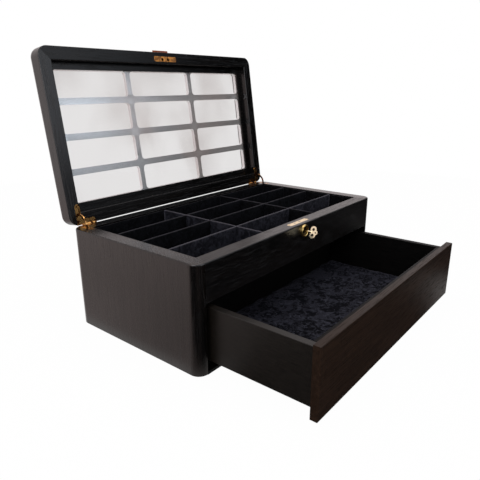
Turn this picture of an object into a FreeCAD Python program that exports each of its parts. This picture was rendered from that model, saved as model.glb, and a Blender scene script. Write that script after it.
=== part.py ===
import FreeCAD, Part
import math
import os

# Glasses box: a black wooden chest for spectacles, with a glazed lid that is
# held open by quadrant hinges, twelve velvet compartments, a small box lock
# with its key, and a wide drawer below.
# Millimetres. X runs along the box, the front faces -Y, Z is up.
# The origin is the centre of the underside. The lid stands open and the
# drawer is pulled out, as the box is shown; both are built closed and moved.

Vec = FreeCAD.Vector
X_AXIS = Vec(1, 0, 0)
Y_AXIS = Vec(0, 1, 0)
Z_AXIS = Vec(0, 0, 1)

# Carcass
BOX_LENGTH = 560.0
BOX_DEPTH = 306.0
BOX_HEIGHT = 182.0
WALL = 26.0
POST_WIDTH = 18.0
RIM_ROUNDING = 2.5
FOOT_ROUNDING = 1.2
FRONT_RAIL_HEIGHT = 63.4
SHELF_THICKNESS = 8.0
SHELF_HOUSING = 4.0
BOTTOM_THICKNESS = 5.0

# Compartments
LINING_THICKNESS = 2.0
LINING_DROP = 2.0
FLOOR_PAD_THICKNESS = 3.0
DIVIDER_THICKNESS = 5.0
DIVIDER_DROP = 1.5
COLUMNS = 3
ROWS = 4
SOFT_GAP = 0.3

# Drawer
DRAWER_OUT = 190.5
PANEL_THICKNESS = 12.0
PANEL_SIDE_GAP = 1.0
PANEL_TOP_GAP = 2.4
PANEL_BOTTOM_GAP = 1.2
PANEL_ROUNDING = 1.5
DRAWER_BOARD = 12.0
DRAWER_SIDE_GAP = 2.5
DRAWER_TOP_GAP = 2.6
DRAWER_BACK_GAP = 5.0
DRAWER_RUN_GAP = 0.3
DRAWER_EDGE_ROUNDING = 1.0
RUNNER_HEIGHT = 12.2
RUNNER_WIDTH = 14.0
RUNNER_SETBACK = 2.0
BOTTOM_PANEL_THICKNESS = 4.0
BOTTOM_PANEL_LIFT = 4.0
BOTTOM_PANEL_GROOVE = 5.0
DRAWER_PAD_THICKNESS = 8.0
DRAWER_PAD_ROUNDING = 3.0
STOP_LENGTH = 30.0
STOP_WIDTH = 12.0
STOP_DEPTH = 6.0
STOP_SPACING = 240.0

# Lid
LID_OPEN_ANGLE = 98.0
LID_THICKNESS = 33.0
LID_GAP = 0.4
LID_TOP_ROUNDING = 12.0
LID_EDGE_ROUNDING = 1.0
LID_FACE_WIDTH = 22.5
LID_SIDE_RAIL = 32.5
LID_FRONT_RAIL = 35.0
LID_BACK_RAIL = 37.0
RECESS_ROUNDING = 1.0
WINDOW_CORNER = 7.0
LIP_THICKNESS = 2.0
LATTICE_THICKNESS = 7.5
LATTICE_BAR_X = 10.5
LATTICE_BAR_Y = 12.0
LATTICE_COLUMN_SPACING = 170.0
LATTICE_ROW_SPACING = 62.5
LATTICE_ROW_FORWARD = 2.0
GLASS_THICKNESS = 3.0
BEAD_THICKNESS = 2.5
GLAZING_GAP = 0.3
TAB_WIDTH = 39.0
TAB_REACH = 6.0
TAB_ROOT = 14.0
TAB_THICKNESS = 3.0
TAB_HEIGHT = 13.0

# Quadrant hinges
PIN_BEHIND = 0.4
KNUCKLE_RADIUS = 2.5
KNUCKLE_RELIEF = 0.5
KNUCKLE_COUNT = 3
KNUCKLE_GAP = 0.3
PIN_RADIUS = 1.2
PIN_CLEARANCE = 0.05
LEAF_INSET = 13.5
LEAF_WIDTH = 10.0
LEAF_LENGTH = 38.0
LEAF_THICKNESS = 2.0
ARM_RADIUS = 20.0
ARM_DEPTH = 3.0
ARM_THICKNESS = 2.4
ARM_STOP_THICKNESS = 4.4
ARM_STOP_START = 9.0
ARM_STOP_ANGLE = 4.0
ARM_CLEARANCE = 0.3
ARM_POCKET_ROOM = 1.0

# Lock and key
LOCK_FROM_FRONT = 13.0
PLATE_LENGTH = 60.0
PLATE_WIDTH = 10.0
PLATE_THICKNESS = 1.6
PLATE_CORNER = 3.0
CASE_LENGTH = 48.0
CASE_DEPTH = 8.0
CASE_HEIGHT = 26.0
CASE_WALL = 1.0
KEY_BELOW_RIM = 13.5
BARREL_RADIUS = 6.0
BARREL_FRONT = 2.5
BARREL_LENGTH = 9.5
BARREL_CLEARANCE = 0.25
CRANK_RADIUS = 4.5
CRANK_PIN_RADIUS = 1.2
CRANK_PIN_LENGTH = 2.8
CRANK_CLEARANCE = 0.25
BOLT_THICKNESS = 2.0
BOLT_SETBACK = 0.8
BOLT_LENGTH = 27.0
BOLT_HEIGHT = 14.5
BOLT_CLEARANCE = 1.0
HOOK_SPACING = 15.0
HOOK_WIDTH = 4.0
HOOK_BELOW_RIM = 0.3
HOOK_CLEARANCE = 0.3
STRIKE_HOLE_RADIUS = 3.2
STRIKE_POCKET_DEPTH = 5.0
PLATE_SCREW_SPACING = 54.0
STRIKE_SCREW_SPACING = 50.0
ESCUTCHEON_RADIUS = 11.5
ESCUTCHEON_HOLE = 8.5
ESCUTCHEON_DEPTH = 4.5
ESCUTCHEON_BEVEL = 1.0
KEY_SHAFT_RADIUS = 2.0
KEY_CLEARANCE = 0.15
KEY_SHAFT_LENGTH = 28.0
KEY_BIT_REACH = 4.6
KEY_BIT_LENGTH = 5.0
KEY_BIT_THICKNESS = 1.2
KEY_HOLE_DEPTH = 8.5
BOW_THICKNESS = 2.6
BOW_RING_RADIUS = 6.0
BOW_RING_HOLE = 2.6
BOW_RING_SPACING = 10.4
BOW_TIP_RADIUS = 4.2
BOW_TIP_HOLE = 1.4
BOW_TIP_REACH = 5.0
KEY_TILT = 24.0

# Countersunk screws
SCREW_HEAD_RADIUS = 2.6
SCREW_HEAD_DEPTH = 1.5
SCREW_SHANK_RADIUS = 1.3
SCREW_LENGTH = 12.0
SCREW_SLOT_WIDTH = 0.6
SCREW_SLOT_DEPTH = 0.5

# Levels and lines that several pieces share
HALF_L = BOX_LENGTH / 2
HALF_D = BOX_DEPTH / 2
INNER_X = HALF_L - WALL
INNER_Y = HALF_D - WALL
POST_X = HALF_L - POST_WIDTH
REBATE_Y = -HALF_D + PANEL_THICKNESS
RAIL_BOTTOM = BOX_HEIGHT - FRONT_RAIL_HEIGHT
SHELF_BOTTOM = RAIL_BOTTOM - SHELF_THICKNESS
LINED_X = INNER_X - LINING_THICKNESS
LINED_Y = INNER_Y - LINING_THICKNESS
FLOOR_TOP = RAIL_BOTTOM + FLOOR_PAD_THICKNESS
DIVIDER_TOP = BOX_HEIGHT - DIVIDER_DROP
LID_BOTTOM = BOX_HEIGHT + LID_GAP
LID_TOP = LID_BOTTOM + LID_THICKNESS
LIP_BOTTOM = LID_TOP - LIP_THICKNESS
LATTICE_BOTTOM = LIP_BOTTOM - LATTICE_THICKNESS
GLASS_BOTTOM = LATTICE_BOTTOM - GLASS_THICKNESS
BEAD_BOTTOM = GLASS_BOTTOM - BEAD_THICKNESS
RECESS_X = HALF_L - LID_FACE_WIDTH
RECESS_Y = HALF_D - LID_FACE_WIDTH
WINDOW_X = HALF_L - LID_SIDE_RAIL
WINDOW_FRONT = -HALF_D + LID_FRONT_RAIL
WINDOW_BACK = HALF_D - LID_BACK_RAIL
PIN_Y = HALF_D + PIN_BEHIND
PIN_Z = BOX_HEIGHT + LID_GAP / 2
LOCK_Y = -HALF_D + LOCK_FROM_FRONT
KEY_Z = BOX_HEIGHT - KEY_BELOW_RIM
BARREL_Y = -HALF_D + BARREL_FRONT
BARREL_END = BARREL_Y + BARREL_LENGTH
BOLT_Y = BARREL_END + BOLT_SETBACK


def box(x0, x1, y0, y1, z0, z1):
    return Part.makeBox(x1 - x0, y1 - y0, z1 - z0, Vec(x0, y0, z0))


def prism(points, z0, z1):
    corners = [Vec(x, y, z0) for x, y in points]
    face = Part.Face(Part.makePolygon(corners + corners[:1]))
    return face.extrude(Vec(0, 0, z1 - z0))


def edges_along(shape, axis):
    """The straight edges that run along one axis."""
    found = []
    for edge in shape.Edges:
        if not isinstance(edge.Curve, Part.Line):
            continue
        run = edge.Vertexes[1].Point - edge.Vertexes[0].Point
        if run.cross(axis).Length < 1e-6 * run.Length:
            found.append(edge)
    return found


def edges_at(shape, z):
    """The edges that lie wholly at one height."""
    found = []
    for edge in shape.Edges:
        bounds = edge.BoundBox
        if abs(bounds.ZMin - z) < 1e-4 and abs(bounds.ZMax - z) < 1e-4:
            found.append(edge)
    return found


def rounded_box(x0, x1, y0, y1, z0, z1, radius):
    """A block with its four upright corners rounded."""
    block = box(x0, x1, y0, y1, z0, z1)
    return block.makeFillet(radius, edges_along(block, Z_AXIS))


def eased_box(x0, x1, y0, y1, z0, z1, radius):
    """A board with the edges of its top face rounded."""
    block = box(x0, x1, y0, y1, z0, z1)
    return block.makeFillet(radius, edges_at(block, z1))


def rod(start, axis, radius, length):
    return Part.makeCylinder(radius, length, start, axis)


def fused(shapes):
    whole = shapes[0]
    for shape in shapes[1:]:
        whole = whole.fuse(shape)
    return whole.removeSplitter()


def mirrored(shape):
    """The same piece for the other end of the box."""
    return shape.mirror(Vec(0, 0, 0), X_AXIS)


def screw(x, y, z, way):
    """A countersunk screw with its head flush at z; way is 1 head up, -1 head down."""
    profile = [
        Vec(0, 0, 0),
        Vec(SCREW_HEAD_RADIUS, 0, 0),
        Vec(SCREW_SHANK_RADIUS, 0, -SCREW_HEAD_DEPTH),
        Vec(SCREW_SHANK_RADIUS, 0, 2 * SCREW_SHANK_RADIUS - SCREW_LENGTH),
        Vec(0, 0, -SCREW_LENGTH),
        Vec(0, 0, 0),
    ]
    body = Part.Face(Part.makePolygon(profile)).revolve(Vec(0, 0, 0), Z_AXIS, 360)
    half_slot = SCREW_SLOT_WIDTH / 2
    reach = SCREW_HEAD_RADIUS + 1
    slot = box(-reach, reach, -half_slot, half_slot, -SCREW_SLOT_DEPTH, 1)
    body = body.cut(slot)
    if way < 0:
        body.rotate(Vec(0, 0, 0), X_AXIS, 180)
    body.translate(Vec(x, y, z))
    return body


def screw_hole(x, y, z, way):
    """The countersunk hole that the screw fills."""
    sink = Part.makeCone(
        SCREW_HEAD_RADIUS, SCREW_SHANK_RADIUS, SCREW_HEAD_DEPTH, Vec(x, y, z), Vec(0, 0, -way)
    )
    bore = rod(Vec(x, y, z), Vec(0, 0, -way), SCREW_SHANK_RADIUS, SCREW_LENGTH)
    return fused([sink, bore])


# Quadrant hinges: two L-shaped leaves let into the rims, joined by a pin
# behind the back face, and an arc that floats in slots through both leaves.
LEAF_X0 = -HALF_L + LEAF_INSET
LEAF_X1 = LEAF_X0 + LEAF_WIDTH
LEAF_TIP = LEAF_X0 + LEAF_LENGTH
LEAF_TOP = PIN_Z - LID_GAP / 2
LEAF_FLOOR = LEAF_TOP - LEAF_THICKNESS
ARM_X = LEAF_X0 + LEAF_WIDTH / 2
ARM_INNER = ARM_RADIUS - ARM_DEPTH / 2
ARM_OUTER = ARM_RADIUS + ARM_DEPTH / 2
REAR_SCREW_Y = PIN_Y - KNUCKLE_RADIUS - KNUCKLE_RELIEF - KNUCKLE_GAP - SCREW_HEAD_RADIUS
LEAF_SCREWS = [
    (ARM_X, HALF_D - LEAF_LENGTH + LEAF_WIDTH / 2),
    (LEAF_TIP - LEAF_WIDTH / 2, REAR_SCREW_Y),
]


def leaf_plate():
    """The L-shaped plate of the left box leaf, with its round ends."""
    side_leg = box(LEAF_X0, LEAF_X1, HALF_D - LEAF_LENGTH, HALF_D, LEAF_FLOOR, LEAF_TOP)
    back_leg = box(LEAF_X0, LEAF_TIP, HALF_D - LEAF_WIDTH, HALF_D, LEAF_FLOOR, LEAF_TOP)
    plate = fused([side_leg, back_leg])
    ends = []
    for edge in edges_along(plate, Z_AXIS):
        point = edge.Vertexes[0].Point
        at_front = abs(point.y - (HALF_D - LEAF_LENGTH)) < 1e-6
        at_tip = abs(point.x - LEAF_TIP) < 1e-6 and point.y < HALF_D - 1e-6
        if at_front or at_tip:
            ends.append(edge)
    return plate.makeFillet(LEAF_WIDTH / 2 - 0.01, ends)


def knuckle_spans():
    """The stretches of the pin axis that each knuckle takes, along X."""
    start = LEAF_X1
    pitch = (LEAF_TIP - start) / KNUCKLE_COUNT
    return [(start + i * pitch, start + (i + 1) * pitch) for i in range(KNUCKLE_COUNT)]


def pin_axis_rod(x0, x1, radius):
    return rod(Vec(x0, PIN_Y, PIN_Z), X_AXIS, radius, x1 - x0)


def knuckle(x0, x1):
    """One knuckle of a box leaf and the tang that carries it."""
    inset = KNUCKLE_GAP / 2
    barrel = pin_axis_rod(x0 + inset, x1 - inset, KNUCKLE_RADIUS)
    tang = box(x0 + inset, x1 - inset, HALF_D - LEAF_WIDTH / 2, PIN_Y, LEAF_FLOOR, LEAF_TOP)
    return fused([barrel, tang])


def upside_down(shape):
    """A box leaf's form turned over into a lid leaf's, about the pin's level."""
    return shape.mirror(Vec(0, 0, PIN_Z), Z_AXIS)


def leaf(first_knuckle, pin_fit):
    """A box leaf whose knuckles start at the given place in the row."""
    shape = leaf_plate()
    spans = knuckle_spans()
    own = spans[first_knuckle::2]
    others = spans[1 - first_knuckle::2]
    for x0, x1 in others:
        inset = KNUCKLE_GAP / 2
        relief = pin_axis_rod(x0 - inset, x1 + inset, KNUCKLE_RADIUS + KNUCKLE_RELIEF)
        shape = shape.cut(relief)
    shape = fused([shape] + [knuckle(x0, x1) for x0, x1 in own])
    shape = shape.cut(pin_axis_rod(LEAF_X0, LEAF_TIP + 1, PIN_RADIUS + pin_fit))
    half_x = ARM_THICKNESS / 2 + ARM_CLEARANCE
    half_y = ARM_DEPTH / 2 + 2 * ARM_CLEARANCE
    slot_y = PIN_Y - ARM_RADIUS
    slot = box(ARM_X - half_x, ARM_X + half_x, slot_y - half_y, slot_y + half_y,
               LEAF_FLOOR - 1, LEAF_TOP + 1)
    shape = shape.cut(slot)
    for x, y in LEAF_SCREWS:
        shape = shape.cut(screw_hole(x, y, LEAF_TOP, 1))
    return shape


def hinge_pockets():
    """What the left hinge takes out of the carcass: leaf bed, knuckle room, arm pocket."""
    room = pin_axis_rod(LEAF_X1 - KNUCKLE_RELIEF, LEAF_TIP + KNUCKLE_RELIEF,
                        KNUCKLE_RADIUS + KNUCKLE_RELIEF)
    half_x = ARM_STOP_THICKNESS / 2 + ARM_CLEARANCE
    sweep = math.radians(LID_OPEN_ANGLE / 2 + ARM_STOP_START + ARM_STOP_ANGLE)
    front = PIN_Y - ARM_OUTER - ARM_POCKET_ROOM
    rear = PIN_Y - ARM_INNER * math.cos(sweep) + ARM_POCKET_ROOM
    floor = PIN_Z - ARM_OUTER * math.sin(sweep) - ARM_POCKET_ROOM
    arm_pocket = box(ARM_X - half_x, ARM_X + half_x, front, rear, floor, LEAF_TOP)
    bed = leaf_plate()
    holes = [screw_hole(x, y, LEAF_TOP, 1) for x, y in LEAF_SCREWS]
    return fused([bed, arm_pocket, room] + holes)


def arc_band(start, end, half_width):
    """A stretch of flat arc about the pin; angles rise from the rim towards the lid."""
    def at(radius, angle):
        turn = math.radians(angle)
        return Vec(ARM_X - half_width, PIN_Y - radius * math.cos(turn),
                   PIN_Z + radius * math.sin(turn))
    middle = (start + end) / 2
    edges = [
        Part.Arc(at(ARM_OUTER, start), at(ARM_OUTER, middle), at(ARM_OUTER, end)).toShape(),
        Part.LineSegment(at(ARM_OUTER, end), at(ARM_INNER, end)).toShape(),
        Part.Arc(at(ARM_INNER, end), at(ARM_INNER, middle), at(ARM_INNER, start)).toShape(),
        Part.LineSegment(at(ARM_INNER, start), at(ARM_OUTER, start)).toShape(),
    ]
    return Part.Face(Part.Wire(edges)).extrude(Vec(2 * half_width, 0, 0))


def quadrant_arm():
    """The left arc, with a stop at each end that can't pass its leaf."""
    far = LID_OPEN_ANGLE + ARM_STOP_START
    arc = arc_band(-ARM_STOP_START, far, ARM_THICKNESS / 2)
    low = arc_band(-ARM_STOP_START - ARM_STOP_ANGLE, -ARM_STOP_START, ARM_STOP_THICKNESS / 2)
    high = arc_band(far, far + ARM_STOP_ANGLE, ARM_STOP_THICKNESS / 2)
    return fused([arc, low, high])


def hinge_pin():
    return pin_axis_rod(LEAF_X1, LEAF_TIP, PIN_RADIUS)


# Lock: a case under a brass plate, a barrel that the key turns, and a bolt
# with two slanting hooks that rise sideways through the plate.
HOOK_ROOT_Z = BOX_HEIGHT - PLATE_THICKNESS - CRANK_RADIUS - BOLT_CLEARANCE
HOOK_TOP_Z = BOX_HEIGHT - HOOK_BELOW_RIM
STRIKE_MIDDLE_Z = LID_BOTTOM + PLATE_THICKNESS / 2
HOOK_XS = [-HOOK_SPACING / 2, HOOK_SPACING / 2]
PLATE_SCREW_XS = [-PLATE_SCREW_SPACING / 2, PLATE_SCREW_SPACING / 2]
STRIKE_SCREW_XS = [-STRIKE_SCREW_SPACING / 2, STRIKE_SCREW_SPACING / 2]


def hook_x(hook, z):
    """Where a hook's middle lies at a height: it leans over at 45 degrees."""
    return hook + z - STRIKE_MIDDLE_Z


def lock_plate_blank(bottom, top):
    half_length = PLATE_LENGTH / 2
    half_width = PLATE_WIDTH / 2
    return rounded_box(-half_length, half_length, LOCK_Y - half_width, LOCK_Y + half_width,
                       bottom, top, PLATE_CORNER)


def lock_plate():
    plate = lock_plate_blank(BOX_HEIGHT - PLATE_THICKNESS, BOX_HEIGHT)
    half_slot = (HOOK_WIDTH + PLATE_THICKNESS) / 2 + HOOK_CLEARANCE
    for hook in HOOK_XS:
        middle = hook_x(hook, BOX_HEIGHT - PLATE_THICKNESS / 2)
        slot = box(middle - half_slot, middle + half_slot, BOLT_Y - HOOK_CLEARANCE,
                   BOLT_Y + BOLT_THICKNESS + HOOK_CLEARANCE, HOOK_ROOT_Z, BOX_HEIGHT + 1)
        plate = plate.cut(slot)
    for x in PLATE_SCREW_XS:
        plate = plate.cut(screw_hole(x, LOCK_Y, BOX_HEIGHT, 1))
    return plate


def case_block(inset):
    """The lock case's outside, or its inside when the walls are taken off."""
    half_length = CASE_LENGTH / 2 - inset
    half_depth = CASE_DEPTH / 2 - inset
    top = BOX_HEIGHT - PLATE_THICKNESS
    return box(-half_length, half_length, LOCK_Y - half_depth, LOCK_Y + half_depth,
               top - CASE_HEIGHT + inset, top)


def barrel_bore():
    """The round way for the barrel, from the front face into the case."""
    return rod(Vec(0, -HALF_D - 1, KEY_Z), Y_AXIS, BARREL_RADIUS + BARREL_CLEARANCE,
               LOCK_Y + HALF_D + 1)


def lock_case():
    return case_block(0).cut(case_block(CASE_WALL)).cut(barrel_bore())


def turned_as_shown(shape):
    """The key and its slot stand a little past upright when the box is unlocked."""
    return shape.rotate(Vec(0, 0, KEY_Z), Y_AXIS, KEY_TILT)


def key_barrel():
    """The barrel: a keyhole in its front and a crank pin on its inner end."""
    body = rod(Vec(0, BARREL_Y, KEY_Z), Y_AXIS, BARREL_RADIUS, BARREL_LENGTH)
    pin = rod(Vec(0, BARREL_END, KEY_Z - CRANK_RADIUS), Y_AXIS, CRANK_PIN_RADIUS,
              CRANK_PIN_LENGTH)
    hole = rod(Vec(0, BARREL_Y - 1, KEY_Z), Y_AXIS, KEY_SHAFT_RADIUS + KEY_CLEARANCE,
               KEY_HOLE_DEPTH + 1)
    half_slot = KEY_BIT_THICKNESS / 2 + KEY_CLEARANCE
    slot = box(-half_slot, half_slot, BARREL_Y - 1, BARREL_Y + KEY_HOLE_DEPTH,
               KEY_Z - KEY_BIT_REACH - KEY_CLEARANCE, KEY_Z)
    return fused([body, pin]).cut(hole).cut(turned_as_shown(slot))


def bolt_hook(hook):
    """One slanting hook, from the bolt's body up to just under the plate's face."""
    half = HOOK_WIDTH / 2
    low = hook_x(hook, HOOK_ROOT_Z)
    high = hook_x(hook, HOOK_TOP_Z)
    corners = [
        Vec(low - half, BOLT_Y, HOOK_ROOT_Z),
        Vec(low + half, BOLT_Y, HOOK_ROOT_Z),
        Vec(high + half, BOLT_Y, HOOK_TOP_Z),
        Vec(high - half, BOLT_Y, HOOK_TOP_Z),
    ]
    face = Part.Face(Part.makePolygon(corners + corners[:1]))
    return face.extrude(Vec(0, BOLT_THICKNESS, 0))


def lock_bolt():
    """The bolt: two hooks on a plate, with a slanting slot for the crank pin."""
    left = hook_x(HOOK_XS[0], HOOK_ROOT_Z) - HOOK_WIDTH / 2
    body = box(left, left + BOLT_LENGTH, BOLT_Y, BOLT_Y + BOLT_THICKNESS,
               HOOK_ROOT_Z - BOLT_HEIGHT, HOOK_ROOT_Z)
    shape = fused([body] + [bolt_hook(hook) for hook in HOOK_XS])
    radius = CRANK_PIN_RADIUS + CRANK_CLEARANCE
    swing = CRANK_RADIUS * (1 - math.cos(math.pi / 4))
    start = Vec(0, BOLT_Y - 1, KEY_Z - CRANK_RADIUS)
    step = swing * math.cos(math.pi / 4)
    for share in (0, 0.5, 1):
        place = start + Vec(step * share, 0, -step * share)
        shape = shape.cut(rod(place, Y_AXIS, radius, BOLT_THICKNESS + 2))
    return shape


def escutcheon():
    """The ring round the keyhole, with a bevelled front edge."""
    face_y = -HALF_D - ESCUTCHEON_DEPTH
    shoulder = face_y + ESCUTCHEON_BEVEL
    profile = [
        Vec(ESCUTCHEON_HOLE, -HALF_D, KEY_Z),
        Vec(ESCUTCHEON_HOLE, shoulder, KEY_Z),
        Vec(ESCUTCHEON_HOLE + ESCUTCHEON_BEVEL, face_y, KEY_Z),
        Vec(ESCUTCHEON_RADIUS - ESCUTCHEON_BEVEL, face_y, KEY_Z),
        Vec(ESCUTCHEON_RADIUS, shoulder, KEY_Z),
        Vec(ESCUTCHEON_RADIUS, -HALF_D, KEY_Z),
        Vec(ESCUTCHEON_HOLE, -HALF_D, KEY_Z),
    ]
    face = Part.Face(Part.makePolygon(profile))
    return face.revolve(Vec(0, 0, KEY_Z), Y_AXIS, 360)


def key():
    """The key: bit and shaft in the barrel, and a bow of three rings."""
    tip = BARREL_Y + KEY_HOLE_DEPTH - 2 * KEY_CLEARANCE
    bow_y = tip - KEY_SHAFT_LENGTH
    shaft = rod(Vec(0, bow_y, KEY_Z), Y_AXIS, KEY_SHAFT_RADIUS, KEY_SHAFT_LENGTH)
    half_bit = KEY_BIT_THICKNESS / 2
    bit = box(-half_bit, half_bit, tip - KEY_BIT_LENGTH, tip, KEY_Z - KEY_BIT_REACH, KEY_Z)
    half_bow = BOW_THICKNESS / 2
    rings = []
    holes = []
    half_spacing = BOW_RING_SPACING / 2
    ring_y = bow_y - BOW_RING_HOLE
    for way in (-1, 1):
        centre = Vec(-half_bow, ring_y, KEY_Z + way * half_spacing)
        rings.append(rod(centre, X_AXIS, BOW_RING_RADIUS, BOW_THICKNESS))
        holes.append(rod(centre, X_AXIS, BOW_RING_HOLE, BOW_THICKNESS))
    tip_centre = Vec(-half_bow, ring_y - BOW_TIP_REACH, KEY_Z)
    rings.append(rod(tip_centre, X_AXIS, BOW_TIP_RADIUS, BOW_THICKNESS))
    holes.append(rod(tip_centre, X_AXIS, BOW_TIP_HOLE, BOW_THICKNESS))
    shape = fused([shaft, bit] + rings)
    for hole in holes:
        shape = shape.cut(hole)
    return turned_as_shown(shape)


def lock_pockets():
    """What the lock takes out of the front rail."""
    bed = lock_plate_blank(BOX_HEIGHT - PLATE_THICKNESS, BOX_HEIGHT)
    holes = [screw_hole(x, LOCK_Y, BOX_HEIGHT, 1) for x in PLATE_SCREW_XS]
    return fused([bed, case_block(0), barrel_bore()] + holes)


def strike_plate():
    plate = lock_plate_blank(LID_BOTTOM, LID_BOTTOM + PLATE_THICKNESS)
    hook_y = BOLT_Y + BOLT_THICKNESS / 2
    for hook in HOOK_XS:
        plate = plate.cut(rod(Vec(hook, hook_y, LID_BOTTOM - 1), Z_AXIS, STRIKE_HOLE_RADIUS,
                              PLATE_THICKNESS + 2))
    for x in STRIKE_SCREW_XS:
        plate = plate.cut(screw_hole(x, LOCK_Y, LID_BOTTOM, -1))
    return plate


def strike_pockets():
    """What the strike takes out of the lid's front rail, with room for the hooks."""
    bed = lock_plate_blank(LID_BOTTOM, LID_BOTTOM + PLATE_THICKNESS)
    half_y = STRIKE_HOLE_RADIUS
    hook_y = BOLT_Y + BOLT_THICKNESS / 2
    reach = CRANK_RADIUS + HOOK_WIDTH
    room = box(HOOK_XS[0] - reach, HOOK_XS[1] + reach, hook_y - half_y, hook_y + half_y,
               LID_BOTTOM, LID_BOTTOM + PLATE_THICKNESS + STRIKE_POCKET_DEPTH)
    holes = [screw_hole(x, LOCK_Y, LID_BOTTOM, -1) for x in STRIKE_SCREW_XS]
    return fused([bed, room] + holes)


def carcass_ring():
    """The four walls in one, with rounded corners, rim and foot, before they are cut apart."""
    block = rounded_box(-HALF_L, HALF_L, -HALF_D, HALF_D, 0, BOX_HEIGHT, POST_WIDTH)
    block = block.makeFillet(RIM_ROUNDING, edges_at(block, BOX_HEIGHT))
    block = block.makeFillet(FOOT_ROUNDING, edges_at(block, 0))
    hollow = box(-INNER_X, INNER_X, -INNER_Y, INNER_Y, -1, BOX_HEIGHT + 1)
    return block.cut(hollow)


def shelf():
    return box(-INNER_X - SHELF_HOUSING, INNER_X + SHELF_HOUSING, REBATE_Y,
               INNER_Y + SHELF_HOUSING, SHELF_BOTTOM, RAIL_BOTTOM)


def bottom_board():
    return box(-POST_X, POST_X, -HALF_D, HALF_D - POST_WIDTH, 0, BOTTOM_THICKNESS)


def carcass_walls():
    """Front rail, back board and sides: mitred behind, rebated in front."""
    ring = carcass_ring().cut(shelf()).cut(bottom_board())
    hinge_room = hinge_pockets()
    ring = ring.cut(hinge_room).cut(mirrored(hinge_room))
    out = 1.0
    side_region = [
        (-HALF_L - out, -HALF_D - out),
        (-POST_X, -HALF_D - out),
        (-POST_X, REBATE_Y),
        (-INNER_X, REBATE_Y),
        (-INNER_X, INNER_Y),
        (-HALF_L - out, HALF_D + out),
    ]
    back_region = [
        (-HALF_L - out, HALF_D + out),
        (-INNER_X, INNER_Y),
        (INNER_X, INNER_Y),
        (HALF_L + out, HALF_D + out),
    ]
    left = ring.common(prism(side_region, -out, BOX_HEIGHT + out))
    back = ring.common(prism(back_region, -out, BOX_HEIGHT + out))
    lap = box(-POST_X, POST_X, -HALF_D - out, REBATE_Y, RAIL_BOTTOM, BOX_HEIGHT + out)
    body = box(-INNER_X, INNER_X, REBATE_Y, -INNER_Y + out, RAIL_BOTTOM, BOX_HEIGHT + out)
    rail = ring.common(fused([lap, body])).cut(lock_pockets())
    return {
        "side_left": left,
        "side_right": mirrored(left),
        "back_board": back,
        "front_rail": rail,
    }


def drawer_runners():
    """The two strips that the drawer's sides run on."""
    outer = INNER_X - DRAWER_SIDE_GAP + SOFT_GAP
    left = box(-outer, RUNNER_WIDTH - outer, REBATE_Y + RUNNER_SETBACK, INNER_Y,
               BOTTOM_THICKNESS, BOTTOM_THICKNESS + RUNNER_HEIGHT)
    return Part.makeCompound([left, mirrored(left)])


def drawer_stops():
    """Two blocks under the shelf that catch the drawer's back board."""
    face = INNER_Y - DRAWER_BACK_GAP - DRAWER_BOARD - DRAWER_OUT - DRAWER_RUN_GAP
    middle = -STOP_SPACING / 2
    left = box(middle - STOP_LENGTH / 2, middle + STOP_LENGTH / 2, face - STOP_WIDTH, face,
               SHELF_BOTTOM - STOP_DEPTH, SHELF_BOTTOM)
    return Part.makeCompound([left, mirrored(left)])


def linings():
    """Velvet-covered boards on the four walls of the compartments."""
    top = BOX_HEIGHT - LINING_DROP
    end = INNER_X - LINING_THICKNESS - SOFT_GAP
    left = box(-INNER_X, -LINED_X, -INNER_Y, INNER_Y, RAIL_BOTTOM, top)
    front = box(-end, end, -INNER_Y, -LINED_Y, RAIL_BOTTOM, top)
    return {
        "lining_left": left,
        "lining_right": mirrored(left),
        "lining_front": front,
        "lining_back": front.mirror(Vec(0, 0, 0), Y_AXIS),
    }


def compartment_pad():
    return box(-LINED_X + SOFT_GAP, LINED_X - SOFT_GAP, -LINED_Y + SOFT_GAP,
               LINED_Y - SOFT_GAP, RAIL_BOTTOM, FLOOR_TOP)


def divider_places(inside, count):
    """The middle lines of the dividers that part a width into equal bays."""
    pitch = (inside + DIVIDER_THICKNESS) / count
    return [(i + 1) * pitch - (inside + DIVIDER_THICKNESS) / 2 for i in range(count - 1)]


def dividers():
    """Long and cross dividers, halved over one another like an egg crate."""
    half = DIVIDER_THICKNESS / 2
    slot = half + SOFT_GAP / 2
    waist = (FLOOR_TOP + DIVIDER_TOP) / 2
    cross_places = divider_places(2 * LINED_X, COLUMNS)
    long_places = divider_places(2 * LINED_Y, ROWS)
    end_x = LINED_X - SOFT_GAP
    end_y = LINED_Y - SOFT_GAP
    pieces = {}
    for number, y in enumerate(long_places, 1):
        board = box(-end_x, end_x, y - half, y + half, FLOOR_TOP, DIVIDER_TOP)
        for x in cross_places:
            board = board.cut(box(x - slot, x + slot, y - WALL, y + WALL, waist, BOX_HEIGHT))
        pieces[f"divider_long_{number}"] = board
    for number, x in enumerate(cross_places, 1):
        board = box(x - half, x + half, -end_y, end_y, FLOOR_TOP, DIVIDER_TOP)
        for y in long_places:
            board = board.cut(box(x - WALL, x + WALL, y - slot, y + slot, 0, waist))
        pieces[f"divider_cross_{number}"] = board
    return pieces


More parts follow.
